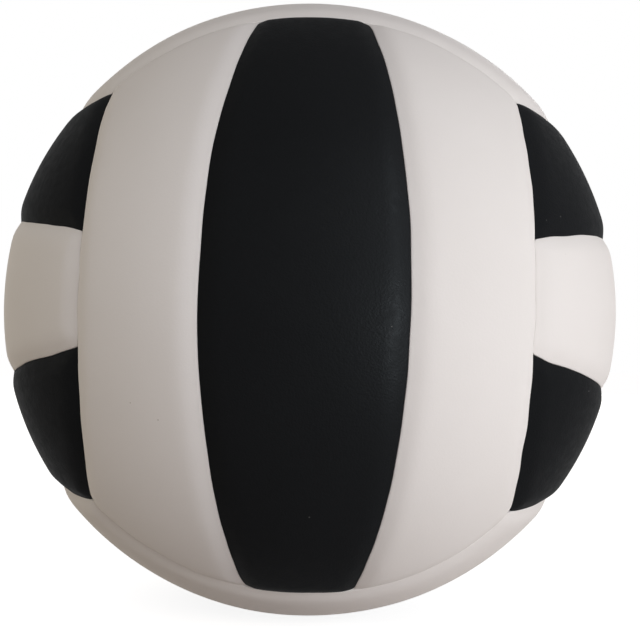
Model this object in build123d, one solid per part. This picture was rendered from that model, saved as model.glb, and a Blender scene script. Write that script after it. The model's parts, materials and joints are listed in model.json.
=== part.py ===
from build123d import *
import math
import os

# An indoor volleyball of laminated make. Eighteen soft panels in six faces of three strips
# are bonded to a rubber lining over a thread-wound bladder, with a needle valve in one strip.
# The origin is the ball's centre, the front face looks along -Y and +Z is up.

# The ball and its layers, from the outside in
ball_diameter = 210.0
skin_thickness = 1.1
foam_thickness = 3.2
lining_thickness = 0.7
winding_thickness = 0.6
bladder_thickness = 0.9
glue_line = 0.1

# The panels' seams and their rolled edges
middle_strip_half_angle = 14.2
seam_gap = 0.2
edge_drop = 2.2
edge_roll_radius = 12.0
edge_roll_lift = 0.05

# The valve core, a soft plug that closes on its slit when the needle is drawn out
needle_radius = 1.2
needle_bore_length = 7.0
funnel_depth = 1.2
funnel_flare = 0.7
core_wall = 1.3
core_stand_out = 1.0
core_chamfer = 0.5
slit_width = 0.15
slit_length = 2.0

# The valve housing, a moulded stem on a flange that the air presses against the bladder
core_clearance = 0.05
mouth_ledge = 0.7
mouth_depth = 1.4
lip_wall = 1.0
lip_recess = 0.5
lip_round = 0.35
groove_depth = 0.6
groove_height = 2.0
groove_drop = 4.5
barrel_wall = 2.5
barrel_length = 10.0
barrel_chamfer = 0.8
flange_width = 8.0
flange_thickness = 1.3
stem_clearance = 0.3
hole_round = 0.45

# Construction margins of the cutting tools
cut_overrun = 3.0
cut_sweep = 40.0
blank_margin = 5.0

# Radii of the layers
cover_radius = ball_diameter / 2
foam_top = cover_radius - skin_thickness - glue_line
foam_bottom = foam_top - foam_thickness
lining_top = foam_bottom - glue_line
winding_top = lining_top - lining_thickness - glue_line
bladder_top = winding_top - winding_thickness - glue_line
flange_top = bladder_top - bladder_thickness - glue_line

# Radii of the valve's steps
core_radius = needle_radius + core_wall
core_bore_radius = core_radius + core_clearance
groove_radius = core_bore_radius + groove_depth
mouth_radius = core_bore_radius + mouth_ledge
stem_radius = mouth_radius + lip_wall
barrel_radius = core_bore_radius + barrel_wall
flange_radius = barrel_radius + flange_width
stem_hole_radius = stem_radius + stem_clearance
bladder_hole_radius = stem_radius + glue_line

# Heights of the valve's steps above the ball's centre
lip_height = cover_radius - lip_recess
mouth_floor = lip_height - mouth_depth
groove_ceiling = mouth_floor - groove_drop
groove_floor = groove_ceiling - groove_height
flange_bottom = flange_top - flange_thickness
barrel_end = flange_bottom - barrel_length
core_end = barrel_end - core_stand_out
needle_bore_top = lip_height - funnel_depth
needle_bore_end = needle_bore_top - needle_bore_length

# Angles of the seams, seen from the ball's centre: the faces meet at the corners of a cube
right_angle = 90.0
half_turn = 180.0
corner_angle = right_angle / 2
face_seam_angle = math.degrees(math.acos(1 / math.sqrt(3)))
half_gap_angle = math.degrees(seam_gap / 2 / cover_radius)

# The rolled edge is an arc about a point below the crown, falling by edge_drop at the seam
roll_centre_radius = cover_radius + edge_roll_lift - edge_roll_radius
rim_radius = cover_radius - edge_drop
roll_angle = math.degrees(
    math.acos(
        (rim_radius**2 + roll_centre_radius**2 - edge_roll_radius**2)
        / (2 * rim_radius * roll_centre_radius)
    )
)

strip_lean = math.radians(middle_strip_half_angle)
valve_plane = Plane((0, 0, 0), x_dir=(0, 1, 0), z_dir=(1, 0, 0))


def from_pole(radius, angle):
    """A point of the XZ plane at an angle from +Z, with the ball's centre as the origin."""
    turn = math.radians(angle)
    return (radius * math.sin(turn), 0, radius * math.cos(turn))


def from_equator(radius, angle):
    """A point of the XY plane at an angle from +X towards +Y."""
    turn = math.radians(angle)
    return (radius * math.cos(turn), radius * math.sin(turn), 0)


def on_sphere(radius, offset):
    """A point of the XZ plane on a sphere about the centre, at an offset from the Z axis."""
    return (offset, 0, math.sqrt(radius**2 - offset**2))


def strip_blank(top, bottom, start_angle, end_angle):
    """A thick sector of the ball's wall about Y, between two angles from +Z towards +X."""
    reach = face_seam_angle + blank_margin
    outline = [
        ThreePointArc(from_equator(bottom, -reach), from_equator(bottom, 0), from_equator(bottom, reach)),
        Line(from_equator(bottom, reach), from_equator(top, reach)),
        ThreePointArc(from_equator(top, reach), from_equator(top, 0), from_equator(top, -reach)),
        Line(from_equator(top, -reach), from_equator(bottom, -reach)),
    ]
    section = Rot(0, start_angle - right_angle, 0) * make_face(outline)
    return revolve(section, Axis.Y, end_angle - start_angle)


def beside_seam(radius, seam_angle, setback):
    """A point of the XZ plane on the line that runs beside a seam's wall, set back towards +Z."""
    turn = math.radians(seam_angle)
    across = radius * math.sin(turn) - setback * math.cos(turn)
    up = radius * math.cos(turn) + setback * math.sin(turn)
    return (across, 0, up)


def edge_cutter(axis, seam_side, seam_angle, inset, bottom):
    """What lies past a seam, and above the rolled edge beside it, as a ring about an axis.

    The seam runs at seam_angle from the axis. The inset moves every face inwards, so that one
    cutter shapes the skin, the hollow under it and the foam.
    """
    setback = seam_gap / 2 + inset
    crest_angle = seam_angle - half_gap_angle - roll_angle
    end_angle = seam_angle + cut_sweep
    high = cover_radius + cut_overrun
    low = bottom - cut_overrun
    lean = math.radians(seam_angle - crest_angle)
    drawn_in = roll_centre_radius * math.sin(lean) - setback
    rise = math.sqrt((edge_roll_radius - inset) ** 2 - drawn_in**2)
    crest = from_pole(cover_radius + edge_roll_lift - inset, crest_angle)
    wall_top = beside_seam(roll_centre_radius * math.cos(lean) + rise, seam_angle, setback)
    outline = [
        TangentArc(crest, wall_top, tangent=from_pole(1, crest_angle + right_angle)),
        Polyline(
            wall_top,
            beside_seam(low, seam_angle, setback),
            from_pole(low, end_angle),
            from_pole(high, end_angle),
        ),
        ThreePointArc(
            from_pole(high, end_angle),
            from_pole(high, (crest_angle + end_angle) / 2),
            from_pole(high, crest_angle),
        ),
        Line(from_pole(high, crest_angle), crest),
    ]
    ring = revolve(make_face(outline), Axis.Z)
    return Plane((0, 0, 0), x_dir=seam_side, z_dir=axis) * ring


def middle_block(inset, bottom):
    """The middle strip of a face that looks along +Z, with its long side along Y."""
    reach = middle_strip_half_angle + blank_margin
    block = strip_blank(cover_radius - inset, bottom, -reach, reach)
    for side in (1, -1):
        axis = (side * math.cos(strip_lean), 0, math.sin(strip_lean))
        away = (side * math.sin(strip_lean), 0, -math.cos(strip_lean))
        block -= edge_cutter(axis, away, right_angle, inset, bottom)
    return block - edge_cutter((0, 0, 1), (1, 0, 0), face_seam_angle, inset, bottom)


def side_block(inset, bottom):
    """The strip on the +X side of the middle one."""
    start_angle = middle_strip_half_angle - blank_margin
    block = strip_blank(cover_radius - inset, bottom, start_angle, corner_angle + blank_margin)
    axis = (math.cos(strip_lean), 0, -math.sin(strip_lean))
    away = (-math.sin(strip_lean), 0, -math.cos(strip_lean))
    block -= edge_cutter(axis, away, right_angle, inset, bottom)
    block -= edge_cutter((-1, 0, 0), (0, 0, -1), half_turn - face_seam_angle, inset, bottom)
    return block - edge_cutter((0, 0, 1), (1, 0, 0), face_seam_angle, inset, bottom)


def panel_layers(strip_block):
    """A panel's skin, wrapped over its edges, and the foam pad that fills it."""
    hollow = strip_block(skin_thickness, foam_bottom - cut_overrun)
    skin = strip_block(0, foam_bottom) - hollow
    foam = strip_block(skin_thickness + glue_line, foam_bottom)
    return skin, foam


def valve_hole():
    """The stem's hole from the ball's centre outwards, flared to a soft edge at the cover."""
    flare_radius = stem_hole_radius + hole_round
    flare_top = on_sphere(cover_radius, flare_radius)[2] + edge_roll_lift
    flare_bottom = flare_top - hole_round
    outside = cover_radius + cut_overrun
    outline = [
        Polyline(
            (stem_hole_radius, 0, flare_bottom),
            (stem_hole_radius, 0, 0),
            (0, 0, 0),
            (0, 0, outside),
            (flare_radius, 0, outside),
            (flare_radius, 0, flare_top),
        ),
        TangentArc(
            (stem_hole_radius, 0, flare_bottom),
            (flare_radius, 0, flare_top),
            tangent=(0, 0, 1),
        ),
    ]
    return valve_plane * revolve(make_face(outline), Axis.Z)


def ball_layer(top, thickness, hole_radius):
    """A closed spherical layer with a hole for the valve's stem."""
    inside = top - thickness
    outline = [
        ThreePointArc(on_sphere(top, hole_radius), (top, 0, 0), (0, 0, -top)),
        Line((0, 0, -top), (0, 0, -inside)),
        ThreePointArc((0, 0, -inside), (inside, 0, 0), on_sphere(inside, hole_radius)),
        Line(on_sphere(inside, hole_radius), on_sphere(top, hole_radius)),
    ]
    return valve_plane * revolve(make_face(outline), Axis.Z)


def valve_housing():
    """The stem, its flange under the bladder and its barrel, bored for the core."""
    flange_middle = (flange_radius + barrel_radius) / 2
    outline = [
        Polyline(
            (core_bore_radius, 0, groove_floor),
            (core_bore_radius, 0, barrel_end),
            (barrel_radius - barrel_chamfer, 0, barrel_end),
            (barrel_radius, 0, barrel_end + barrel_chamfer),
            on_sphere(flange_bottom, barrel_radius),
        ),
        ThreePointArc(
            on_sphere(flange_bottom, barrel_radius),
            on_sphere(flange_bottom, flange_middle),
            on_sphere(flange_bottom, flange_radius),
        ),
        Line(on_sphere(flange_bottom, flange_radius), on_sphere(flange_top, flange_radius)),
        ThreePointArc(
            on_sphere(flange_top, flange_radius),
            on_sphere(flange_top, flange_middle),
            on_sphere(flange_top, stem_radius),
        ),
        Line(on_sphere(flange_top, stem_radius), (stem_radius, 0, lip_height - lip_round)),
        TangentArc(
            (stem_radius, 0, lip_height - lip_round),
            (stem_radius - lip_round, 0, lip_height),
            tangent=(0, 0, 1),
        ),
        Polyline(
            (stem_radius - lip_round, 0, lip_height),
            (mouth_radius, 0, lip_height),
            (mouth_radius, 0, mouth_floor),
            (core_bore_radius, 0, mouth_floor),
            (core_bore_radius, 0, groove_ceiling),
            (groove_radius, 0, groove_ceiling),
            (groove_radius, 0, groove_floor),
            (core_bore_radius, 0, groove_floor),
        ),
    ]
    return valve_plane * revolve(make_face(outline), Axis.Z)


def valve_core():
    """The plug with its collar in the mouth, its bead in the groove, its bore and its slit."""
    collar_radius = mouth_radius - core_clearance
    collar_bottom = mouth_floor + core_clearance
    bead_top = groove_ceiling - core_clearance
    bead_bottom = groove_floor + core_clearance
    bead_radius = groove_radius - core_clearance
    outline = [
        Polyline(
            (core_radius, 0, bead_bottom),
            (core_radius, 0, core_end + core_chamfer),
            (core_radius - core_chamfer, 0, core_end),
            (0, 0, core_end),
            (0, 0, needle_bore_end),
            (needle_radius, 0, needle_bore_end),
            (needle_radius, 0, needle_bore_top),
            (needle_radius + funnel_flare, 0, lip_height),
            (collar_radius, 0, lip_height),
            (collar_radius, 0, collar_bottom),
            (core_radius, 0, collar_bottom),
            (core_radius, 0, bead_top),
        ),
        ThreePointArc(
            (core_radius, 0, bead_top),
            (bead_radius, 0, (bead_top + bead_bottom) / 2),
            (core_radius, 0, bead_bottom),
        ),
    ]
    plug = revolve(make_face(outline), Axis.Z)
    slit_depth = needle_bore_end - core_end + 2 * cut_overrun
    slit = Box(slit_length, slit_width, slit_depth)
    slit_middle = (needle_bore_end + core_end) / 2
    return valve_plane * (plug - Pos(0, 0, slit_middle) * slit)


# Each face has the direction it looks in, the direction across its strips, and its strips'
# names from the near end of that direction to the far end
faces = {
    "front": ((0, -1, 0), (1, 0, 0), ("left", "middle", "right")),
    "back": ((0, 1, 0), (1, 0, 0), ("left", "middle", "right")),
    "left": ((-1, 0, 0), (0, 0, 1), ("lower", "middle", "upper")),
    "right": ((1, 0, 0), (0, 0, 1), ("lower", "middle", "upper")),
    "top": ((0, 0, 1), (0, 1, 0), ("front", "middle", "rear")),
    "bottom": ((0, 0, -1), (0, 1, 0), ("front", "middle", "rear")),
}

middle_skin, middle_foam = panel_layers(middle_block)
side_skin, side_foam = panel_layers(side_block)
turned = Rot(0, 0, half_turn)

nodes = {}
for face, (outward, across, strips) in faces.items():
    place = Plane((0, 0, 0), x_dir=across, z_dir=outward)
    skins = (turned * side_skin, middle_skin, side_skin)
    foams = (turned * side_foam, middle_foam, side_foam)
    for strip, skin, foam in zip(strips, skins, foams):
        nodes[f"cover_{face}_{strip}"] = place * skin
        nodes[f"foam_{face}_{strip}"] = place * foam

for layer in ("cover_right_middle", "foam_right_middle"):
    nodes[layer] -= valve_hole()
nodes["carcass_lining"] = ball_layer(lining_top, lining_thickness, stem_hole_radius)
nodes["thread_winding"] = ball_layer(winding_top, winding_thickness, stem_hole_radius)
nodes["bladder"] = ball_layer(bladder_top, bladder_thickness, bladder_hole_radius)
nodes["valve_housing"] = valve_housing()
nodes["valve_core"] = valve_core()

os.makedirs("parts", exist_ok=True)
for name, solid in nodes.items():
    export_step(solid, f"parts/{name}.step")
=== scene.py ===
import json
import math

import bpy
import numpy as np
from mathutils import Matrix, Vector


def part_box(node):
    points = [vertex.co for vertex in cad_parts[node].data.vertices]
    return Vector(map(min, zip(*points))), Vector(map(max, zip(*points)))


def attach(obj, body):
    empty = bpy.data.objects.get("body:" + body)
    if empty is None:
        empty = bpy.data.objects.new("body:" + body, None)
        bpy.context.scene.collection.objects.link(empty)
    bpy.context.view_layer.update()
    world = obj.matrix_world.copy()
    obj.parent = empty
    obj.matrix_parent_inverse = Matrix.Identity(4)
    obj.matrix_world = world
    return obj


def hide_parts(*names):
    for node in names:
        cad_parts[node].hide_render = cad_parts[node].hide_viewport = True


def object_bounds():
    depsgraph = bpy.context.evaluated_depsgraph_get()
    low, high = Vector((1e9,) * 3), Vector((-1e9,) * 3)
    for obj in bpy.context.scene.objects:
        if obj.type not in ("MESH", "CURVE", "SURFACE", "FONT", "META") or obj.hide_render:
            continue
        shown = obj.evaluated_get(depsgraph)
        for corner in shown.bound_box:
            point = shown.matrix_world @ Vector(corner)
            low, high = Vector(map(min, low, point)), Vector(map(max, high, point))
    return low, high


# A black and white volleyball, seen close up and a little from below. Its soft panels are built
# here as crowned skins over foam pads; the valve and the layers under the pads are the CAD solids.
# Lengths are in metres and powers in watts. Angles are in degrees, but for those that
# math.radians or math.acos gives.

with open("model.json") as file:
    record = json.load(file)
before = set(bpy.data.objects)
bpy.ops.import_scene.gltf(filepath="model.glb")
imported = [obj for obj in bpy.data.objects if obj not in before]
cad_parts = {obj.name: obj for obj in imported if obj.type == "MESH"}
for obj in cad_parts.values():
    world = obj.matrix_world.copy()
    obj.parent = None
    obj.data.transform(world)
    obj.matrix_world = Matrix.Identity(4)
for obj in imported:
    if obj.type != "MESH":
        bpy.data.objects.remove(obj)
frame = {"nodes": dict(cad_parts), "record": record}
cad_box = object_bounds()

# The ball
BALL_RADIUS = (cad_box[1].z - cad_box[0].z) / 2
SKIN = 0.0011
GLUE = 0.0001
PAD_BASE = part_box("carcass_lining")[1].y + GLUE
SEAM_GAP = 0.00006
MIDDLE_HALF = math.radians(14.2)
FACE_SEAM = math.acos(1 / math.sqrt(3))

# How far each seam between two faces bows from a cone about the first one's axis, as a slope
SEAM_BOWS = {("front", "top"): 0.17, ("left", "front"): -0.05, ("right", "front"): -0.03}

# The panels' rolled edges, rounded corners and soft rims
EDGE_WIDTH = 0.0064
ROLL_RADIUS = 0.0140
ROLL_RUN = 0.0042
CORNER_RADIUS = 0.0014
CORNER_SOFTNESS = 0.0036
RIM_ROUND = 0.00012

# Steps over a skin's rim: the shares of its rounding that are left to go outwards, and gone down
RIM_STEPS = ((0.3, 0.3), (0.0, 1.0))

# Edges sharper than this stay square in the shading
SHARP_ANGLE = 55

# Rounds that settle where the ends of a strip meet its sides
MIDDLE_ROUNDS = 6
SIDE_ROUNDS = 16

# Grid cells of the panels, from the edges to the middle
FINE_CELL = 0.0007
COARSE_CELL = 0.0022
CELL_GROWTH = 1.22
PAD_FINE_CELL = 0.0016
PAD_COARSE_CELL = 0.0060

# Lengths that turn shares of a panel into distances, for its corners and its cells
MIDDLE_WIDTH = 2 * MIDDLE_HALF * BALL_RADIUS
MIDDLE_END_WIDTH = MIDDLE_WIDTH * math.cos(FACE_SEAM)
SIDE_WIDTH = (math.radians(45) - MIDDLE_HALF) * BALL_RADIUS
SIDE_END_WIDTH = 0.052
PANEL_LENGTH = 2 * FACE_SEAM * BALL_RADIUS

# Small unevenness of a ball in use: its seams wander slowly and quickly, and its surface swells
SLOW_WANDER = 0.00018
QUICK_WANDER = 0.00004
FACE_RIPPLE = 0.00013
RIPPLE_REACH = 0.012
SURFACE_SWELL = 0.00010
STILL_ANGLE = math.radians(9)
MOVING_ANGLE = math.radians(20)

# The waves that make up that unevenness: seeds, counts, frequencies in radians per radius, and
# how far single waves differ from their field's frequency
SLOW_SEEDS = (3, 5, 7)
SLOW_WAVES = 24
SLOW_FREQUENCY = 11.0
QUICK_SEEDS = (13, 17, 19)
QUICK_WAVES = 40
QUICK_FREQUENCY = 48.0
SWELL_SEED = 11
SWELL_WAVES = 30
SWELL_FREQUENCY = 9.0
FREQUENCY_SPREAD = (0.6, 1.4)

# Places where the cover is drawn aside, so that its seams lie off the regular layout: the azimuth
# and elevation of the place, how far the cover goes to the right there and how far up, and how
# far round the place that reaches, as a share of the ball's radius
WIDE = 0.24
NARROW = 0.11
COVER_PULLS = (
    (-13, 36, 0.0012, 0.0, WIDE),
    (14, 32, -0.0009, 0.0, WIDE),
    (50, 40, -0.0012, -0.0012, WIDE),
    (-46, 20, 0.0010, 0.0, WIDE),
    (68, 13, 0.0, -0.0011, WIDE),
    (-38, -9, 0.0, -0.0011, NARROW),
    (-51, -11, 0.0, 0.0004, NARROW),
    (-63, -13, 0.0, -0.0005, NARROW),
    (47, -13, 0.0, 0.0006, WIDE),
    (70, -13, 0.0, -0.0010, WIDE),
    (-14, -25, 0.0005, 0.0, WIDE),
    (-46, -32, -0.0008, 0.0, WIDE),
    (45, -40, -0.0015, 0.0, WIDE),
    (0, -47, 0.0, 0.0017, WIDE),
)

# The valve's hole in the cover
HOLE_RADIUS = 0.00455
HOLE_ROUND = 0.00045
HOLE_BLOCK = 0.0090
HOLE_RING_SHARES = (0.35, 0.70, 1.0)
HOLE_ROUND_STEPS = 4

# Each face has the direction it looks in, the direction across its strips, and its strips'
# names from the near end of that direction to the far end. The first of the three strips is
# built the other way round, so that both outer strips run outwards from the middle one
FACES = {
    "front": ((0, -1, 0), (1, 0, 0), ("left", "middle", "right")),
    "back": ((0, 1, 0), (1, 0, 0), ("left", "middle", "right")),
    "left": ((-1, 0, 0), (0, 0, 1), ("lower", "middle", "upper")),
    "right": ((1, 0, 0), (0, 0, 1), ("lower", "middle", "upper")),
    "top": ((0, 0, 1), (0, 1, 0), ("front", "middle", "rear")),
    "bottom": ((0, 0, -1), (0, 1, 0), ("front", "middle", "rear")),
}
STRIP_SENSES = (-1, 1, 1)
BLACK_OUTSIDE = ("left", "right")
VALVE_PANEL = ("right", "middle")
KEPT_NODES = ("carcass_lining", "thread_winding", "bladder", "valve_housing", "valve_core")

# The cover's leather. Scales are in features per metre, and a span is the part of a pattern's
# range over which the change that it makes goes from nothing to all
MOTTLE_SCALE = 14.0
MOTTLE_SPAN = (0.35, 0.70)
SPECK_SCALE = 150.0
SPECK_SPAN = (0.018, 0.034)
SPECK_PATCH_SCALE = 37.0
SPECK_PATCH_SPAN = (0.60, 0.66)
LEATHER_SHINE_SCALE = 420.0
LEATHER_SHINE_SPREAD = 0.06
SHINE_SPAN = (0.3, 0.7)
PEBBLE_SCALE = 1700.0
PORE_SCALE = 2600.0
PEBBLE_DEPTH = 0.00012

# The foam, the rubbers and the winding
BUBBLE_SCALE = 900.0
BUBBLE_SPAN = (0.2, 0.8)
BUBBLE_BUMP = 0.6
BUBBLE_DEPTH = 0.0003
FOAM_DARK = (0.62, 0.59, 0.52)
FOAM_LIGHT = (0.78, 0.76, 0.70)
FOAM_ROUGHNESS = 0.9
BLOOM_SCALE = 160.0
BLOOM_SPAN = (0.4, 0.7)
RUBBER_SHINE_SCALE = 900.0
RUBBER_SHINE_SPREAD = 0.05
RUBBER_GRAIN_SCALE = 1500.0
RUBBER_GRAIN_BUMP = 0.25
RUBBER_GRAIN_DEPTH = 0.0001
THREAD_TURNS_RADIANS = ((0.2, 0.5, 0.0), (1.1, 0.0, 0.7), (0.0, 1.3, 2.1))
THREAD_SCALE = 420.0
THREAD_DISTORTION = 1.5
THREAD_BUMP = 0.8
THREAD_DEPTH = 0.0003
THREAD_DARK = (0.30, 0.29, 0.27)
THREAD_LIGHT = (0.78, 0.77, 0.74)
THREAD_ROUGHNESS = 0.7

# The floor and the room. In the light that it sends back, the floor changes from painted shade on
# the left to a painted pool of light on the right, over FLOOR_TURN either side of the ball's
# middle, and FLOOR_LIFT is the light that it gives off by itself
FLOOR_SIZE = 8.0
FLOOR_PAINTED_SHADE_LEFT = (0.18, 0.125, 0.096, 1)
FLOOR_PAINTED_LIGHT_RIGHT = (0.86, 0.82, 0.80, 1)
FLOOR_TURN = 0.12
FLOOR_LIFT = 0.14
FLOOR_LOOK = (0.55, 0.55, 0.55, 1)
FLOOR_GLOW = 0.86
ROOM_COLOUR = (1.0, 0.925, 0.915, 1)
ROOM_STRENGTH = 0.266
ROOM_LOOK = (1, 1, 1, 1)

# Soft lamps: azimuth, elevation, distance, width, height, power and colour
WINDOW = (36, 9, 0.6, 0.55, 0.22, 2.0, (0.93, 0.95, 0.985))
FILL = (-86, 1, 1.5, 0.9, 0.36, 7.0, (1.0, 0.955, 0.80))
BEHIND = (175, 15, 1.5, 1.2, 1.2, 10.0, (1.0, 0.98, 0.95))

# Beams that give the front's black strip its sheen: name, elevation, elevation of the place on
# the strip that the beam meets, and power
SHEEN_LAMPS = (("sheen_low", -7, -2, 140.0), ("sheen_high", 28, 11, 52.0))
SHEEN_PANEL = "panel_front_middle"
SHEEN_AZIMUTH = 41
SHEEN_DISTANCE = 0.5
SHEEN_AIM_AZIMUTH = 24
SHEEN_ANGLE = 16
SHEEN_LAMP_SIZE = 0.03
SHEEN_COLOUR = (0.82, 0.93, 1.0)

# The camera, from the photograph's outline and seams
IMAGE_WIDTH = 640
IMAGE_HEIGHT = 628
BALL_PIXEL = (309.9, 309.6)
FOCAL_PIXELS = 747.0
SENSOR_WIDTH = 36.0
CAMERA_DISTANCE = 2.636 * BALL_RADIUS
CAMERA_AZIMUTH = 0.90
CAMERA_ELEVATION = -3.04
CAMERA_ROLL = 1.40
CAMERA_CLIP = 0.01


def unit(vectors):
    """Vectors of length one."""
    return vectors / np.linalg.norm(vectors, axis=-1, keepdims=True)


def wave_field(seed, count, frequency):
    """A smooth seeded field over directions, with a mean of zero and a spread of about one."""
    source = np.random.default_rng(seed)
    waves = unit(source.normal(size=(count, 3))) * frequency
    waves = waves * source.uniform(*FREQUENCY_SPREAD, (count, 1))
    phases = source.uniform(0, 2 * math.pi, count)

    def field(directions):
        return np.sin(directions @ waves.T + phases).sum(axis=-1) / math.sqrt(count / 2)

    return field


slow_fields = [wave_field(seed, SLOW_WAVES, SLOW_FREQUENCY) for seed in SLOW_SEEDS]
quick_fields = [wave_field(seed, QUICK_WAVES, QUICK_FREQUENCY) for seed in QUICK_SEEDS]
swell_field = wave_field(SWELL_SEED, SWELL_WAVES, SWELL_FREQUENCY)


def liveliness(directions):
    """Nought about the valve, so that its hole stays round, and one away from it."""
    angle = np.arccos(np.clip(directions[..., 0], -1, 1))
    share = np.clip((angle - STILL_ANGLE) / (MOVING_ANGLE - STILL_ANGLE), 0, 1)
    return share * share * (3 - 2 * share)


def compass(azimuth, elevation):
    """Directions outwards, to the right and up at a place on the ball. Azimuth 0 is its front."""
    turn = math.radians(azimuth)
    rise = math.radians(elevation)
    flat = math.cos(rise)
    outwards = np.array((flat * math.sin(turn), -flat * math.cos(turn), math.sin(rise)))
    right = np.array((math.cos(turn), math.sin(turn), 0.0))
    return outwards, right, np.cross(outwards, right)


def drawn_aside(directions):
    """How far the cover is drawn aside at each direction, and which way."""
    shift = np.zeros_like(directions)
    for azimuth, elevation, rightwards, upwards, reach in COVER_PULLS:
        outwards, right, up = compass(azimuth, elevation)
        off = ((directions - outwards) ** 2).sum(axis=-1)
        share = np.exp(-off / (2 * reach**2))
        shift += share[..., None] * (rightwards * right + upwards * up)
    return shift


def graded_shares(length, fine, coarse):
    """Shares from 0 to 1 along a length, closer together towards both ends."""
    cells = []
    size = fine
    while sum(cells) < length / 2:
        cells.append(size)
        size = min(size * CELL_GROWTH, coarse)
    half = np.cumsum(cells) / sum(cells) / 2
    return np.concatenate(([0], half, 1 - half[-2::-1], [1]))


def round_corners(across, along, width, length):
    """Grid shares with the four corners of the panel drawn in to an arc."""
    near_side = np.clip(1 - np.minimum(across, 1 - across) * width / CORNER_RADIUS, 0, 1)
    near_end = np.clip(1 - np.minimum(along, 1 - along) * length / CORNER_RADIUS, 0, 1)
    inward = CORNER_RADIUS * near_side * (1 - np.sqrt(1 - near_end**2 / 2))
    backward = CORNER_RADIUS * near_end * (1 - np.sqrt(1 - near_side**2 / 2))
    return (
        across + np.sign(0.5 - across) * inward / width,
        along + np.sign(0.5 - along) * backward / length,
    )


def from_angles(longitude, latitude):
    """Directions in a face's frame: Z out of the face, X across its strips and Y along them."""
    return np.stack(
        (
            np.cos(latitude) * np.sin(longitude),
            np.sin(latitude),
            np.cos(latitude) * np.cos(longitude),
        ),
        axis=-1,
    )


def seam_cone(bow):
    """Half-angle of the cone of a seam through two of the ball's eight corners."""
    return math.acos((1 - bow) / math.sqrt(3) / math.hypot(1, bow))


def edge_slope(run):
    """Slope of a panel's surface at a run into its rolled edge."""
    turn = np.clip(run, 0, ROLL_RUN)
    return turn / np.sqrt(ROLL_RADIUS**2 - turn**2)


def edge_drop(run):
    """Drop of a panel's surface at a run into its rolled edge: an arc, then a straight slope."""
    turn = np.clip(run, 0, ROLL_RUN)
    arc = ROLL_RADIUS - np.sqrt(ROLL_RADIUS**2 - turn**2)
    return arc + np.clip(run - ROLL_RUN, 0, None) * edge_slope(ROLL_RUN)


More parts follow.
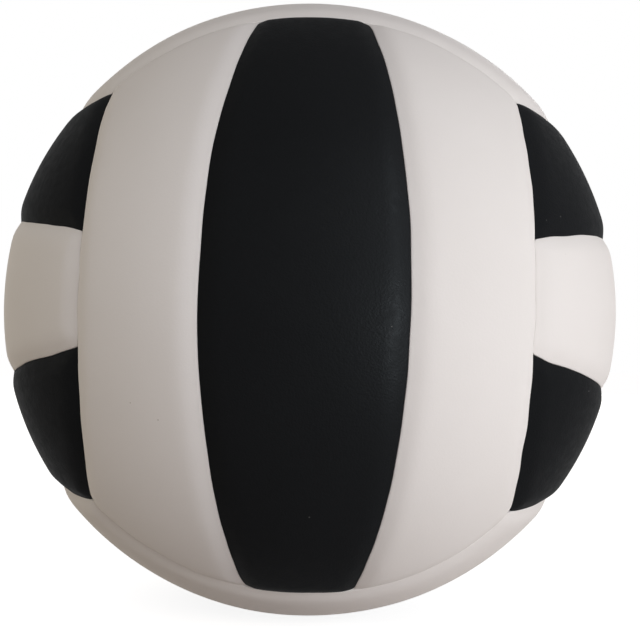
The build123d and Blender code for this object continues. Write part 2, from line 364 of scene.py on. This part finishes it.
class Strip:
    """One strip of a face: its seams, and its place on the ball."""

    def __init__(self, kind, place, end_bows, side_bow):
        self.kind = kind
        self.place = place
        self.end_bows = end_bows
        self.side_bow = side_bow

    def end_latitude(self, longitude, end, lean):
        """Latitude of an end seam, drawn in by a lean."""
        bow = self.end_bows[end]
        level = math.hypot(1, bow) * math.cos(seam_cone(bow) - lean)
        reach = np.hypot(np.cos(longitude), bow)
        return np.arccos(level / reach) - np.arctan2(bow, np.cos(longitude))

    def outer_longitude(self, latitude, lean):
        """Longitude of the face's long edge, drawn in by a lean."""
        level = math.cos(seam_cone(self.side_bow) + lean)
        return math.atan(self.side_bow) + np.arcsin(level / np.cos(latitude))

    def directions(self, across, along, setback):
        """Directions over the strip for shares of its width and length."""
        lean = setback / BALL_RADIUS
        turn = 2 * along - 1
        if self.kind == "middle":
            halves = [self.middle_half(across, turn, end, lean) for end in (0, 1)]
        else:
            halves = [self.side_half(across, turn, end, lean) for end in (0, 1)]
        return np.where(turn[..., None] < 0, halves[0], halves[1])

    def middle_half(self, across, turn, end, lean):
        """One half of a middle strip, between two great circles and an end seam."""
        latitude = np.zeros_like(across)
        for _ in range(MIDDLE_ROUNDS):
            longitude = (2 * across - 1) * (MIDDLE_HALF - lean / np.cos(latitude))
            latitude = turn * self.end_latitude(longitude, end, lean)
        return from_angles(longitude, latitude)

    def side_half(self, across, turn, end, lean):
        """One half of a side strip, from the middle strip's seam to the face's long edge."""
        inner_latitude = FACE_SEAM
        outer_latitude = math.radians(90) - FACE_SEAM
        for _ in range(SIDE_ROUNDS):
            inner = MIDDLE_HALF + lean / math.cos(inner_latitude)
            outer = self.outer_longitude(outer_latitude, lean)
            inner_latitude = (inner_latitude + self.end_latitude(inner, end, lean)) / 2
            outer_latitude = (outer_latitude + self.end_latitude(outer, end, lean)) / 2
        inner_edge = MIDDLE_HALF + lean / np.cos(turn * inner_latitude)
        outer_edge = self.outer_longitude(turn * outer_latitude, lean)
        latitude = turn * self.end_latitude(inner + across * (outer - inner), end, lean)
        return from_angles((1 - across) * inner_edge + across * outer_edge, latitude)

    def end_distance(self, directions):
        """Distance over the surface to the seam at the nearer end."""
        _, y, z = np.moveaxis(directions, -1, 0)
        ends = []
        for bow in self.end_bows:
            level = (z - bow * np.abs(y)) / math.hypot(1, bow)
            ends.append(seam_cone(bow) - np.arccos(np.clip(level, -1, 1)))
        return np.where(y < 0, ends[0], ends[1]) * BALL_RADIUS - SEAM_GAP / 2

    def outer_distance(self, directions):
        """Distance over the surface from a side strip to the face's long edge."""
        x, _, z = np.moveaxis(directions, -1, 0)
        level = (x - self.side_bow * z) / math.hypot(1, self.side_bow)
        return (np.arccos(level) - seam_cone(self.side_bow)) * BALL_RADIUS - SEAM_GAP / 2

    def edge_distance(self, directions):
        """Distance over the surface to the strip's own edge, softened round its corners."""
        x, _, z = np.moveaxis(directions, -1, 0)
        lean_x = x * math.cos(MIDDLE_HALF)
        lean_z = z * math.sin(MIDDLE_HALF)
        if self.kind == "middle":
            side = np.arcsin(lean_z - np.abs(lean_x)) * BALL_RADIUS - SEAM_GAP / 2
        else:
            inner = np.arcsin(lean_x - lean_z) * BALL_RADIUS - SEAM_GAP / 2
            side = np.minimum(inner, self.outer_distance(directions))
        end = self.end_distance(directions)
        short_side = np.clip(CORNER_SOFTNESS - side, 0, None)
        short_end = np.clip(CORNER_SOFTNESS - end, 0, None)
        rounded = CORNER_SOFTNESS - np.hypot(short_side, short_end)
        return np.where((short_side > 0) & (short_end > 0), rounded, np.minimum(side, end))

    def height(self, directions, inset):
        """Distance from the ball's centre to the strip's surface, or to one an inset below it."""
        run = EDGE_WIDTH - self.edge_distance(directions)
        return BALL_RADIUS - edge_drop(run) - inset * np.hypot(1, edge_slope(run))

    def ripple(self, directions):
        """One at the seams with other faces, and nought away from them."""
        distance = self.end_distance(directions)
        if self.kind == "side":
            distance = np.minimum(distance, self.outer_distance(directions))
        return np.exp(-((distance / RIPPLE_REACH) ** 2))

    def placed(self, directions, heights):
        """Points in the ball's frame, with the cover's wander and pulls and the surface's swell."""
        world = directions @ self.place.T
        live = liveliness(world)
        slow = np.stack([field(world) for field in slow_fields], axis=-1)
        quick = np.stack([field(world) for field in quick_fields], axis=-1)
        quickness = QUICK_WANDER + FACE_RIPPLE * self.ripple(directions)
        shift = SLOW_WANDER * slow + quickness[..., None] * quick + drawn_aside(world)
        wandered = unit(world + shift / BALL_RADIUS * live[..., None])
        swollen = heights + live * SURFACE_SWELL * swell_field(world)
        return wandered * swollen[..., None]


class PanelGrid:
    """The grid of one strip: its cells, the loop of points round it and the valve's block in it."""

    def __init__(self, strip, fine, coarse, holed):
        self.strip = strip
        middle = strip.kind == "middle"
        width = MIDDLE_WIDTH if middle else SIDE_WIDTH
        end_width = MIDDLE_END_WIDTH if middle else SIDE_END_WIDTH
        across = graded_shares(width, fine, coarse)
        along = graded_shares(PANEL_LENGTH, fine, coarse)
        self.rows = len(across)
        self.columns = len(along)
        grid = np.meshgrid(across, along, indexing="ij")
        self.across, self.along = round_corners(*grid, end_width, PANEL_LENGTH)
        self.block = self.block_cells(across, along) if holed else None

    def block_cells(self, across, along):
        """The span of cells that the valve's hole takes the place of."""
        wide = np.abs(across - 0.5) * MIDDLE_WIDTH < HOLE_BLOCK
        long = np.abs(along - 0.5) * PANEL_LENGTH < HOLE_BLOCK
        rows = np.flatnonzero(wide)
        columns = np.flatnonzero(long)
        return rows[0], rows[-1], columns[0], columns[-1]

    def at(self, setback):
        """Directions of all the grid's points, with its edges drawn in by a setback."""
        return self.strip.directions(self.across, self.along, setback).reshape(-1, 3)

    def index(self, row, column):
        return row * self.columns + column

    def loop(self, first_row, last_row, first_column, last_column):
        """Points round a span of cells, anticlockwise from outside the ball."""
        near = [self.index(row, first_column) for row in range(first_row, last_row)]
        far_side = [self.index(last_row, column) for column in range(first_column, last_column)]
        far = [self.index(row, last_column) for row in range(last_row, first_row, -1)]
        back = range(last_column, first_column, -1)
        near_side = [self.index(first_row, column) for column in back]
        return near + far_side + far + near_side

    def rim(self):
        return self.loop(0, self.rows - 1, 0, self.columns - 1)

    def faces(self):
        """Quads over the grid, without the valve's block."""
        quads = []
        for row in range(self.rows - 1):
            for column in range(self.columns - 1):
                if self.block and self.in_block(row, column):
                    continue
                quads.append(
                    (
                        self.index(row, column),
                        self.index(row + 1, column),
                        self.index(row + 1, column + 1),
                        self.index(row, column + 1),
                    )
                )
        return quads

    def in_block(self, row, column):
        first_row, last_row, first_column, last_column = self.block
        return first_row <= row < last_row and first_column <= column < last_column


class Shell:
    """Points and faces of one closed piece as it grows."""

    def __init__(self):
        self.points = np.zeros((0, 3))
        self.polygons = []

    def add(self, points):
        """Adds points and gives their numbers."""
        start = len(self.points)
        self.points = np.vstack((self.points, points))
        return list(range(start, start + len(points)))

    def sheet(self, grid, points, outward):
        """Adds a grid's points with its quads facing out of the ball, or into it."""
        numbers = self.add(points)
        for quad in grid.faces():
            corners = [numbers[corner] for corner in quad]
            self.polygons.append(corners if outward else corners[::-1])
        return numbers

    def bridge(self, upper, lower):
        """Quads between two loops, facing away from the panel's middle."""
        for first in range(len(upper)):
            second = (first + 1) % len(upper)
            self.polygons.append((upper[first], lower[first], lower[second], upper[second]))

    def piece(self, name):
        """The finished object, smooth but for its square inner corners."""
        mesh = bpy.data.meshes.new(name)
        mesh.from_pydata(self.points.tolist(), [], self.polygons)
        mesh.validate()
        mesh.polygons.foreach_set("use_smooth", [True] * len(mesh.polygons))
        mesh.set_sharp_from_angle(angle=math.radians(SHARP_ANGLE))
        mesh.update()
        obj = bpy.data.objects.new(name, mesh)
        bpy.context.scene.collection.objects.link(obj)
        return obj


def hole_loops(grid, directions):
    """The points round the valve's block, and the rings that lead from there to the hole's rim."""
    block = np.array(grid.loop(*grid.block))
    square = directions[block, :2] * BALL_RADIUS
    bearing = unit(square)

    def ring(radius, share):
        flat = square * (1 - share) + bearing * radius * share
        depth = np.sqrt(BALL_RADIUS**2 - (flat**2).sum(axis=-1))
        return np.column_stack((flat, depth)) / BALL_RADIUS

    return block, ring


def add_hole(shell, grid, directions, numbers, height, radius, outward):
    """Rings over one surface from the valve's block to a circle. Gives the circle's points."""
    block, ring = hole_loops(grid, directions)
    last = [numbers[corner] for corner in block]
    for share in HOLE_RING_SHARES:
        rays = ring(radius, share)
        loop = shell.add(grid.strip.placed(rays, np.full(len(rays), height)))
        if outward:
            shell.bridge(loop, last)
        else:
            shell.bridge(last, loop)
        last = loop
    return last


def add_hole_wall(shell, grid, directions, top, bottom):
    """The rounded mouth and the wall of the valve's hole, between two circles of points."""
    _, ring = hole_loops(grid, directions)
    last = top
    for step in range(1, HOLE_ROUND_STEPS + 1):
        turn = math.radians(90) * step / HOLE_ROUND_STEPS
        radius = HOLE_RADIUS + HOLE_ROUND * (1 - math.sin(turn))
        height = BALL_RADIUS - HOLE_ROUND * (1 - math.cos(turn))
        rays = ring(radius, 1.0)
        loop = shell.add(grid.strip.placed(rays, np.full(len(rays), height)))
        shell.bridge(loop, last)
        last = loop
    shell.bridge(bottom, last)


def panel_skin(name, strip, holed):
    """A panel's skin: crowned outside, rolled into the seams and wrapped down the pad's edges."""
    grid = PanelGrid(strip, FINE_CELL, COARSE_CELL, holed)
    rim = grid.rim()
    shell = Shell()

    def surface(setback, inset):
        rays = grid.at(setback)
        return rays, strip.height(rays, inset)

    outer_rays, outer_heights = surface(SEAM_GAP / 2 + RIM_ROUND, 0)
    outer = shell.sheet(grid, strip.placed(outer_rays, outer_heights), True)
    last = [outer[corner] for corner in rim]
    for share, drop_share in RIM_STEPS:
        rays, heights = surface(SEAM_GAP / 2 + RIM_ROUND * share, 0)
        lowered = heights[rim] - RIM_ROUND * drop_share
        loop = shell.add(strip.placed(rays[rim], lowered))
        shell.bridge(last, loop)
        last = loop
    rays, _ = surface(SEAM_GAP / 2, 0)
    foot = shell.add(strip.placed(rays[rim], np.full(len(rim), PAD_BASE)))
    shell.bridge(last, foot)

    inner_rays, inner_heights = surface(SEAM_GAP / 2 + SKIN, SKIN)
    inside_foot = shell.add(strip.placed(inner_rays[rim], np.full(len(rim), PAD_BASE)))
    shell.bridge(foot, inside_foot)
    inner = shell.sheet(grid, strip.placed(inner_rays, inner_heights), False)
    shell.bridge(inside_foot, [inner[corner] for corner in rim])

    if holed:
        mouth = HOLE_RADIUS + HOLE_ROUND
        top = add_hole(shell, grid, outer_rays, outer, BALL_RADIUS, mouth, True)
        under = add_hole(shell, grid, inner_rays, inner, BALL_RADIUS - SKIN, HOLE_RADIUS, False)
        add_hole_wall(shell, grid, outer_rays, top, under)
    return shell.piece(name)


def foam_pad(name, strip, holed):
    """The foam pad that fills a skin, standing on the lining."""
    grid = PanelGrid(strip, PAD_FINE_CELL, PAD_COARSE_CELL, holed)
    rim = grid.rim()
    shell = Shell()
    inset = SKIN + GLUE
    rays = grid.at(SEAM_GAP / 2 + inset)
    top = shell.sheet(grid, strip.placed(rays, strip.height(rays, inset)), True)
    base = shell.sheet(grid, strip.placed(rays, np.full(len(rays), PAD_BASE)), False)
    shell.bridge([top[corner] for corner in rim], [base[corner] for corner in rim])
    if holed:
        upper = add_hole(shell, grid, rays, top, BALL_RADIUS - inset, HOLE_RADIUS, True)
        lower = add_hole(shell, grid, rays, base, PAD_BASE, HOLE_RADIUS, False)
        shell.bridge(lower, upper)
    return shell.piece(name)


class Nodes:
    """A material's node tree, with short ways to add and join nodes."""

    def __init__(self, name):
        self.material = bpy.data.materials.new(name)
        self.material.use_nodes = True
        self.tree = self.material.node_tree
        self.shader = self.tree.nodes["Principled BSDF"]
        self.place = self.add("ShaderNodeTexCoord").outputs["Object"]

    def add(self, kind, **settings):
        node = self.tree.nodes.new(kind)
        for key, value in settings.items():
            if key in node.inputs:
                node.inputs[key].default_value = value
            else:
                setattr(node, key, value)
        return node

    def link(self, source, target):
        self.tree.links.new(source, target)

    def noise(self, scale, detail):
        node = self.add("ShaderNodeTexNoise", Scale=scale, Detail=detail)
        self.link(self.place, node.inputs["Vector"])
        return node.outputs["Fac"]

    def cells(self, scale, feature="F1"):
        node = self.add("ShaderNodeTexVoronoi", Scale=scale, feature=feature)
        self.link(self.place, node.inputs["Vector"])
        return node.outputs["Distance"]

    def ramp(self, value, low, high, low_out=0.0, high_out=1.0):
        node = self.add("ShaderNodeMapRange", clamp=True)
        node.inputs["From Min"].default_value = low
        node.inputs["From Max"].default_value = high
        node.inputs["To Min"].default_value = low_out
        node.inputs["To Max"].default_value = high_out
        self.link(value, node.inputs["Value"])
        return node.outputs["Result"]

    def math(self, operation, first, second):
        node = self.add("ShaderNodeMath", operation=operation)
        self.link(first, node.inputs[0])
        self.link(second, node.inputs[1])
        return node.outputs[0]

    def mix(self, share, first, second):
        node = self.add("ShaderNodeMix", data_type="RGBA")
        self.link(share, node.inputs["Factor"])
        for socket, value in ((node.inputs["A"], first), (node.inputs["B"], second)):
            if isinstance(value, tuple):
                socket.default_value = (*value, 1.0)
            else:
                self.link(value, socket)
        return node.outputs["Result"]

    def bump(self, height, strength, distance):
        node = self.add("ShaderNodeBump", Strength=strength, Distance=distance)
        self.link(height, node.inputs["Height"])
        self.link(node.outputs["Normal"], self.shader.inputs["Normal"])

    def colour(self, value):
        self.link(value, self.shader.inputs["Base Color"])

    def even_roughness(self, level):
        self.shader.inputs["Roughness"].default_value = level

    def uneven_roughness(self, pattern, middle, spread):
        value = self.ramp(pattern, *SHINE_SPAN, middle - spread, middle + spread)
        self.link(value, self.shader.inputs["Roughness"])

    def specular(self, level):
        self.shader.inputs["Specular IOR Level"].default_value = level


def cover_leather(name, clean, worn, dust_and_glint, rough, specular, grain):
    """Coated synthetic leather: fine pebbled grain, faint mottling, and specks of dust and painted
    glints.
    """
    nodes = Nodes(name)
    tone = nodes.ramp(nodes.noise(MOTTLE_SCALE, detail=3.0), *MOTTLE_SPAN)
    body = nodes.mix(tone, clean, worn)
    # Specks: dust, and on the black cover also painted glints off the grain
    near = nodes.ramp(nodes.cells(SPECK_SCALE), *SPECK_SPAN, low_out=1.0, high_out=0.0)
    picked = nodes.ramp(nodes.noise(SPECK_PATCH_SCALE, detail=0.0), *SPECK_PATCH_SPAN)
    nodes.colour(nodes.mix(nodes.math("MULTIPLY", near, picked), body, dust_and_glint))
    shine = nodes.noise(LEATHER_SHINE_SCALE, detail=3.0)
    nodes.uneven_roughness(shine, rough, LEATHER_SHINE_SPREAD)
    nodes.specular(specular)
    pebbles = nodes.cells(PEBBLE_SCALE, "SMOOTH_F1")
    height = nodes.math("ADD", pebbles, nodes.noise(PORE_SCALE, detail=2.0))
    nodes.bump(height, grain, PEBBLE_DEPTH)
    return nodes.material


def foam_material():
    """Closed-cell foam with small bubbles."""
    nodes = Nodes("foam")
    bubbles = nodes.cells(BUBBLE_SCALE)
    nodes.colour(nodes.mix(nodes.ramp(bubbles, *BUBBLE_SPAN), FOAM_DARK, FOAM_LIGHT))
    nodes.even_roughness(FOAM_ROUGHNESS)
    nodes.bump(bubbles, BUBBLE_BUMP, BUBBLE_DEPTH)
    return nodes.material


def rubber_material(name, dark, light, rough, specular):
    """Moulded rubber with a powdery bloom."""
    nodes = Nodes(name)
    bloom = nodes.ramp(nodes.noise(BLOOM_SCALE, detail=4.0), *BLOOM_SPAN)
    nodes.colour(nodes.mix(bloom, dark, light))
    shine = nodes.noise(RUBBER_SHINE_SCALE, detail=2.0)
    nodes.uneven_roughness(shine, rough, RUBBER_SHINE_SPREAD)
    nodes.specular(specular)
    grain = nodes.noise(RUBBER_GRAIN_SCALE, detail=3.0)
    nodes.bump(grain, RUBBER_GRAIN_BUMP, RUBBER_GRAIN_DEPTH)
    return nodes.material


def thread_material():
    """Thin threads that cross at several angles."""
    nodes = Nodes("winding_thread")
    height = None
    for turn in THREAD_TURNS_RADIANS:
        mapping = nodes.add("ShaderNodeMapping", Rotation=turn)
        nodes.link(nodes.place, mapping.inputs["Vector"])
        wave = nodes.add("ShaderNodeTexWave", Scale=THREAD_SCALE, Distortion=THREAD_DISTORTION)
        nodes.link(mapping.outputs["Vector"], wave.inputs["Vector"])
        strand = wave.outputs["Fac"]
        height = strand if height is None else nodes.math("MAXIMUM", height, strand)
    nodes.colour(nodes.mix(height, THREAD_DARK, THREAD_LIGHT))
    nodes.even_roughness(THREAD_ROUGHNESS)
    nodes.bump(height, THREAD_BUMP, THREAD_DEPTH)
    return nodes.material


MATERIALS = {
    "cover_white": cover_leather(
        "cover_white",
        clean=(0.800, 0.772, 0.745),
        worn=(0.770, 0.740, 0.710),
        dust_and_glint=(0.42, 0.38, 0.33),
        rough=0.50,
        specular=0.004,
        grain=0.10,
    ),
    "cover_black": cover_leather(
        "cover_black",
        clean=(0.0104, 0.0112, 0.0120),
        worn=(0.0124, 0.0133, 0.0143),
        # light specks on the black: dust, and painted glints off the grain
        dust_and_glint=(0.16, 0.16, 0.15),
        rough=0.50,
        specular=0.004,
        grain=0.40,
    ),
    "foam": foam_material(),
    "lining_rubber": rubber_material(
        "lining_rubber",
        dark=(0.52, 0.50, 0.46),
        light=(0.66, 0.64, 0.60),
        rough=0.7,
        specular=0.3,
    ),
    "winding_thread": thread_material(),
    "bladder_rubber": rubber_material(
        "bladder_rubber",
        dark=(0.018, 0.018, 0.019),
        light=(0.05, 0.05, 0.05),
        rough=0.55,
        specular=0.4,
    ),
    "valve_rubber": rubber_material(
        "valve_rubber",
        dark=(0.014, 0.014, 0.015),
        light=(0.022, 0.022, 0.023),
        rough=0.50,
        specular=0.08,
    ),
    "valve_core_rubber": rubber_material(
        "valve_core_rubber",
        dark=(0.030, 0.030, 0.032),
        light=(0.045, 0.045, 0.047),
        rough=0.55,
        specular=0.08,
    ),
}


def dress(obj, slot):
    """Gives a piece the material of one of the record's slots, and only that one."""
    obj.data.materials.clear()
    obj.data.materials.append(MATERIALS[slot])


def stand_for(piece, node, slot):
    """Puts a skin or pad in place of its CAD node."""
    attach(piece, "root")
    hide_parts(node)
    dress(piece, slot)


def build_panels():
    """All the skins and pads, each in place of its CAD node."""
    facing = {outward: face for face, (outward, _, _) in FACES.items()}
    for face, (outward, across, names) in FACES.items():
        out = np.array(outward)
        for name, sense in zip(names, STRIP_SENSES):
            side = np.array(across) * sense
            along = np.cross(out, side)
            ends = [facing[tuple(int(part) for part in end)] for end in (-along, along)]
            beside = facing[tuple(int(part) for part in side)]
            end_bows = [SEAM_BOWS.get((face, end), 0.0) for end in ends]
            side_bow = SEAM_BOWS.get((beside, face), 0.0)
            place = np.column_stack((side, along, out)).astype(float)
            strip = Strip("middle" if name == "middle" else "side", place, end_bows, side_bow)
            holed = (face, name) == VALVE_PANEL
            outside = name != "middle"
            black = outside if face in BLACK_OUTSIDE else not outside
            skin = panel_skin(f"panel_{face}_{name}", strip, holed)
            stand_for(skin, f"cover_{face}_{name}", "cover_black" if black else "cover_white")
            pad = foam_pad(f"pad_{face}_{name}", strip, holed)
            stand_for(pad, f"foam_{face}_{name}", "foam")


def dress_cad_nodes():
    """Materials of the CAD solids that stay."""
    slots = {part["node"]: part["material_slot"] for part in frame["record"]["subparts"]}
    for node in KEPT_NODES:
        dress(frame["nodes"][node], slots[node])


def seen_share(tree):
    """One for rays from the camera, a reflection or a clear piece, and nought for other light."""
    path = tree.nodes.new("ShaderNodeLightPath")
    seen = path.outputs["Is Camera Ray"]
    for name in ("Is Glossy Ray", "Is Transmission Ray"):
        either = tree.nodes.new("ShaderNodeMath")
        either.operation = "MAXIMUM"
        tree.links.new(seen, either.inputs[0])
        tree.links.new(path.outputs[name], either.inputs[1])
        seen = either.outputs[0]
    return seen


def choose(tree, share, otherwise, chosen):
    """A shader that is one of two by a share."""
    mix = tree.nodes.new("ShaderNodeMixShader")
    tree.links.new(share, mix.inputs["Fac"])
    tree.links.new(otherwise, mix.inputs[1])
    tree.links.new(chosen, mix.inputs[2])
    return mix.outputs[0]


def together(tree, first, second):
    """A shader that adds two."""
    both = tree.nodes.new("ShaderNodeAddShader")
    tree.links.new(first, both.inputs[0])
    tree.links.new(second, both.inputs[1])
    return both.outputs[0]


def build_floor():
    """A pale floor that is white where light falls on it and keeps the ball's shadow."""
    bpy.ops.mesh.primitive_plane_add(size=FLOOR_SIZE, location=(0, 0, cad_box[0].z))
    floor = bpy.context.object
    floor.name = "floor"
    material = bpy.data.materials.new("floor")
    material.use_nodes = True
    tree = material.node_tree
    tree.nodes.remove(tree.nodes["Principled BSDF"])
    bounce = tree.nodes.new("ShaderNodeBsdfDiffuse")
    place = tree.nodes.new("ShaderNodeNewGeometry")
    parts = tree.nodes.new("ShaderNodeSeparateXYZ")
    share = tree.nodes.new("ShaderNodeMapRange")
    share.inputs["From Min"].default_value = -FLOOR_TURN
    share.inputs["From Max"].default_value = FLOOR_TURN
    # Painted light: the colour of the light the floor sends back goes from painted shade on the
    # left to a painted pool of window light on the right
    floor_painted_light = tree.nodes.new("ShaderNodeMix")
    floor_painted_light.data_type = "RGBA"
    floor_painted_light.inputs["A"].default_value = FLOOR_PAINTED_SHADE_LEFT
    floor_painted_light.inputs["B"].default_value = FLOOR_PAINTED_LIGHT_RIGHT
    tree.links.new(place.outputs["Position"], parts.inputs[0])
    tree.links.new(parts.outputs["X"], share.inputs["Value"])
    tree.links.new(share.outputs["Result"], floor_painted_light.inputs["Factor"])
    tree.links.new(floor_painted_light.outputs["Result"], bounce.inputs["Color"])
    lift = tree.nodes.new("ShaderNodeEmission")
    lift.inputs["Strength"].default_value = FLOOR_LIFT
    tree.links.new(floor_painted_light.outputs["Result"], lift.inputs["Color"])
    unseen = together(tree, bounce.outputs[0], lift.outputs[0])
    look = tree.nodes.new("ShaderNodeBsdfDiffuse")
    look.inputs["Color"].default_value = FLOOR_LOOK
    glow = tree.nodes.new("ShaderNodeEmission")
    glow.inputs["Strength"].default_value = FLOOR_GLOW
    seen = together(tree, look.outputs[0], glow.outputs[0])
    shader = choose(tree, seen_share(tree), unseen, seen)
    tree.links.new(shader, tree.nodes["Material Output"].inputs["Surface"])
    floor.data.materials.append(material)


def build_room():
    """An even pale room, which is white where it is seen."""
    world = bpy.data.worlds.new("room")
    world.use_nodes = True
    bpy.context.scene.world = world
    tree = world.node_tree
    dim = tree.nodes["Background"]
    dim.inputs["Color"].default_value = ROOM_COLOUR
    dim.inputs["Strength"].default_value = ROOM_STRENGTH
    white = tree.nodes.new("ShaderNodeBackground")
    white.inputs["Color"].default_value = ROOM_LOOK
    white.inputs["Strength"].default_value = 1.0
    shader = choose(tree, seen_share(tree), dim.outputs[0], white.outputs[0])
    tree.links.new(shader, tree.nodes["World Output"].inputs["Surface"])


def around(azimuth, elevation, distance):
    """A place about the ball. Azimuth 0 is in front of it, and 90 is on its right."""
    outwards, _, _ = compass(azimuth, elevation)
    return Vector(outwards * distance)


def hang(lamp, place, target):
    """Puts a lamp at a place, looking at a target."""
    obj = bpy.data.objects.new(lamp.name, lamp)
    obj.location = place
    obj.rotation_euler = (target - place).to_track_quat("-Z", "Y").to_euler()
    bpy.context.scene.collection.objects.link(obj)
    return obj


def soft_lamp(name, azimuth, elevation, distance, width, height, power, colour):
    """An area lamp that looks at the ball."""
    lamp = bpy.data.lights.new(name, "AREA")
    lamp.shape = "RECTANGLE"
    lamp.size = width
    lamp.size_y = height
    lamp.energy = power
    lamp.color = colour
    hang(lamp, around(azimuth, elevation, distance), Vector())


def sheen_lamp(name, elevation, aim, power, receivers):
    """A narrow beam on the right edge of the black strip, which shows only as its sheen."""
    lamp = bpy.data.lights.new(name, "SPOT")
    lamp.spot_size = math.radians(SHEEN_ANGLE)
    lamp.spot_blend = 1.0
    lamp.shadow_soft_size = SHEEN_LAMP_SIZE
    lamp.energy = power
    lamp.color = SHEEN_COLOUR
    place = around(SHEEN_AZIMUTH, elevation, SHEEN_DISTANCE)
    obj = hang(lamp, place, around(SHEEN_AIM_AZIMUTH, aim, BALL_RADIUS))
    obj.visible_diffuse = False
    obj.light_linking.receiver_collection = receivers


def build_lamps():
    """A wide window on the right with its sheen, a weak warm fill on the left and a lamp behind."""
    soft_lamp("window", *WINDOW)
    receivers = bpy.data.collections.new("sheen_pieces")
    receivers.objects.link(bpy.data.objects[SHEEN_PANEL])
    for name, elevation, aim, power in SHEEN_LAMPS:
        sheen_lamp(name, elevation, aim, power, receivers)
    soft_lamp("fill", *FILL)
    soft_lamp("behind", *BEHIND)


def build_camera():
    """The photograph's view."""
    data = bpy.data.cameras.new("camera")
    data.sensor_width = SENSOR_WIDTH
    data.lens = FOCAL_PIXELS * SENSOR_WIDTH / IMAGE_WIDTH
    data.shift_x = (IMAGE_WIDTH / 2 - BALL_PIXEL[0]) / IMAGE_WIDTH
    data.shift_y = (BALL_PIXEL[1] - IMAGE_HEIGHT / 2) / IMAGE_WIDTH
    data.clip_start = CAMERA_CLIP
    camera = bpy.data.objects.new("camera", data)
    place = around(CAMERA_AZIMUTH, CAMERA_ELEVATION, CAMERA_DISTANCE)
    level = (-place).to_track_quat("-Z", "Y").to_matrix().to_4x4()
    roll = Matrix.Rotation(math.radians(CAMERA_ROLL), 4, "Z")
    camera.matrix_world = Matrix.Translation(place) @ level @ roll
    bpy.context.scene.collection.objects.link(camera)
    bpy.context.scene.camera = camera


build_panels()
dress_cad_nodes()
build_floor()
build_room()
build_lamps()
build_camera()
bpy.context.scene.view_settings.view_transform = "Standard"
